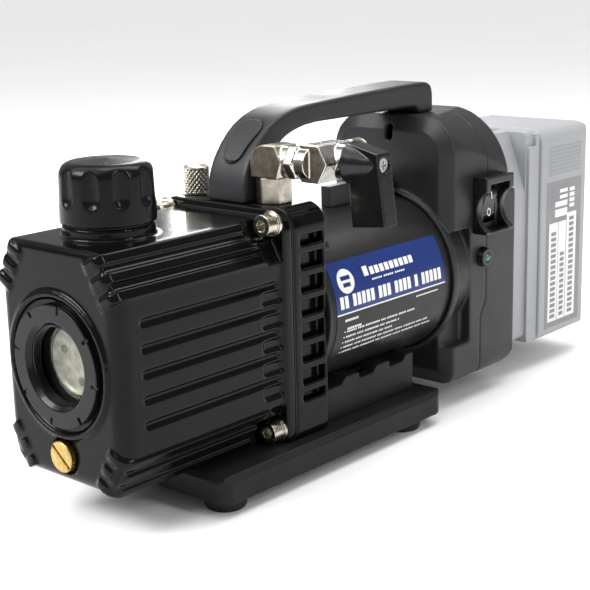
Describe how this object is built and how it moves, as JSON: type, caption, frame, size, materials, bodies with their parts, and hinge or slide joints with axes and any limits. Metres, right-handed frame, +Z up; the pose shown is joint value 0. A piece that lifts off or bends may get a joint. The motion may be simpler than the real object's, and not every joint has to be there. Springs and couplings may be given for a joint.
{
  "type": "vacuum pump",
  "caption": "Portable two-stage rotary vane vacuum pump: finned black oil tank with sight glass, motor under a carry handle, rear housing with switch, and a slide-on battery.",
  "frame": {"origin": "centre of the whole object's footprint box, on the floor under the feet", "axes": "+Y along the shaft, from the oil tank towards the battery; +X towards the inlet valve and the switch; +Z up"},
  "size_m": [0.126, 0.379, 0.1718],
  "materials": {
    "cast_black": "gloss black enamel over a casting",
    "frame_black": "satin black powder coat",
    "rubber_black": "black rubber",
    "screw_steel": "zinc plated steel",
    "bolt_nickel": "bright plated steel",
    "ring_black": "gloss black",
    "lens_glass": "clear",
    "pump_steel": "ground steel",
    "vane_carbon": "dark carbon composite",
    "fitting_bronze": "dull nickel bronze",
    "valve_chrome": "bright nickel plate",
    "knob_nickel": "knurled, satin nickel plate",
    "seat_white": "white fluoropolymer",
    "handle_plastic": "dark grey moulded grip, fine grain",
    "motor_paint": "satin black",
    "motor_iron": "bare iron",
    "motor_copper": "copper",
    "phenolic": "brown phenolic board",
    "label_film": "printed film, blue over near black",
    "housing_plastic": "black moulded plastic, fine spark grain",
    "switch_plastic": "semi-gloss black",
    "lamp_green": "dark green lens",
    "board_green": "circuit board",
    "cap_plastic": "black moulded plastic",
    "drain_brass": "bright brass",
    "lever_black": "gloss black",
    "battery_plastic": "pale grey moulded plastic",
    "cell_wrap": "shrink wrap"
  },
  "bodies": {
    "pump": {"oil_tank": "cast_black", "pump_block": "cast_black", "base_plate": "frame_black", "motor_cradle": "frame_black", "rubber_feet": "rubber_black", "tank_gasket": "rubber_black", "seal_rings": "rubber_black", "machine_screws": "screw_steel", "cartridge_bolts": "screw_steel", "tank_bolts": "bolt_nickel", "sight_glass_ring": "ring_black", "sight_glass_lens": "lens_glass", "stage_stators": "pump_steel", "stage_plates": "pump_steel", "shaft_bearings": "pump_steel", "exhaust_reed": "pump_steel", "carbon_brushes": "vane_carbon", "inlet_elbow": "fitting_bronze", "inlet_standpipe": "fitting_bronze", "valve_body": "valve_chrome", "valve_seats": "seat_white", "handle": "handle_plastic", "handle_pad": "handle_plastic", "motor_can": "motor_paint", "front_bell": "motor_paint", "rear_bell": "motor_paint", "motor_magnets": "motor_iron", "brush_holder": "phenolic", "motor_label": "label_film", "housing_front": "housing_plastic", "housing_rear": "housing_plastic", "wire_duct": "housing_plastic", "switch_guard": "switch_plastic", "switch_body": "switch_plastic", "led_bezel": "switch_plastic", "terminal_block": "switch_plastic", "led_lens": "lamp_green", "control_board": "board_green"},
    "shaft": {"pump_shaft": "pump_steel", "pump_rotors": "pump_steel", "rotor_vanes": "vane_carbon", "shaft_coupling": "pump_steel", "motor_shaft": "pump_steel", "armature_core": "motor_iron", "armature_windings": "motor_copper", "commutator": "motor_copper", "cooling_fan": "housing_plastic"},
    "filler": {"oil_cap": "cap_plastic", "cap_seal": "rubber_black"},
    "drain": {"drain_screw": "drain_brass"},
    "ballast": {"ballast_knob": "knob_nickel"},
    "valve": {"valve_ball": "valve_chrome", "valve_lever": "lever_black", "lever_screw": "screw_steel"},
    "port_cap": {"inlet_cap": "valve_chrome"},
    "switch_rocker": {"rocker": "switch_plastic"},
    "battery": {"battery_case": "battery_plastic", "battery_rail_half": "battery_plastic", "battery_cells": "cell_wrap"},
    "latch_button": {"battery_latch": "battery_plastic"}
  },
  "joints": [
    {"name": "shaft_spin", "type": "hinge", "parent": "pump", "child": "shaft", "pos_m": [-0.0148, -0.04945, 0.072], "axis": [0, 1, 0], "continuous": true},
    {"name": "oil_cap_turn", "type": "hinge", "parent": "pump", "child": "filler", "pos_m": [-0.0148, -0.15545, 0.135], "axis": [0, 0, 1], "range_deg": [0, 540]},
    {"name": "drain_screw_turn", "type": "hinge", "parent": "pump", "child": "drain", "pos_m": [-0.0148, -0.18645, 0.0332], "axis": [0, -1, 0], "range_deg": [0, 720]},
    {"name": "ballast_turn", "type": "hinge", "parent": "pump", "child": "ballast", "pos_m": [-0.0426, -0.07585, 0.13], "axis": [0, 0, 1], "range_deg": [0, 360]},
    {"name": "valve_turn", "type": "hinge", "parent": "pump", "child": "valve", "pos_m": [0.0412, -0.06045, 0.147], "axis": [1, 0, 0], "range_deg": [0, 90]},
    {"name": "port_cap_turn", "type": "hinge", "parent": "pump", "child": "port_cap", "pos_m": [0.0288, -0.04445, 0.147], "axis": [0, 1, 0], "range_deg": [0, 720]},
    {"name": "rocker_tilt", "type": "hinge", "parent": "pump", "child": "switch_rocker", "pos_m": [0.024, 0.07255, 0.107], "axis": [0, 1, 0], "range_deg": [-18, 0]},
    {"name": "battery_slide", "type": "slide", "parent": "pump", "child": "battery", "axis": [0, 0, 1], "range_m": [0, 0.09]},
    {"name": "latch_press", "type": "slide", "parent": "battery", "child": "latch_button", "axis": [0, 0, -1], "range_m": [0, 0.0025], "stiffness_N_per_m": 400, "springref_m": -0.001}
  ]
}
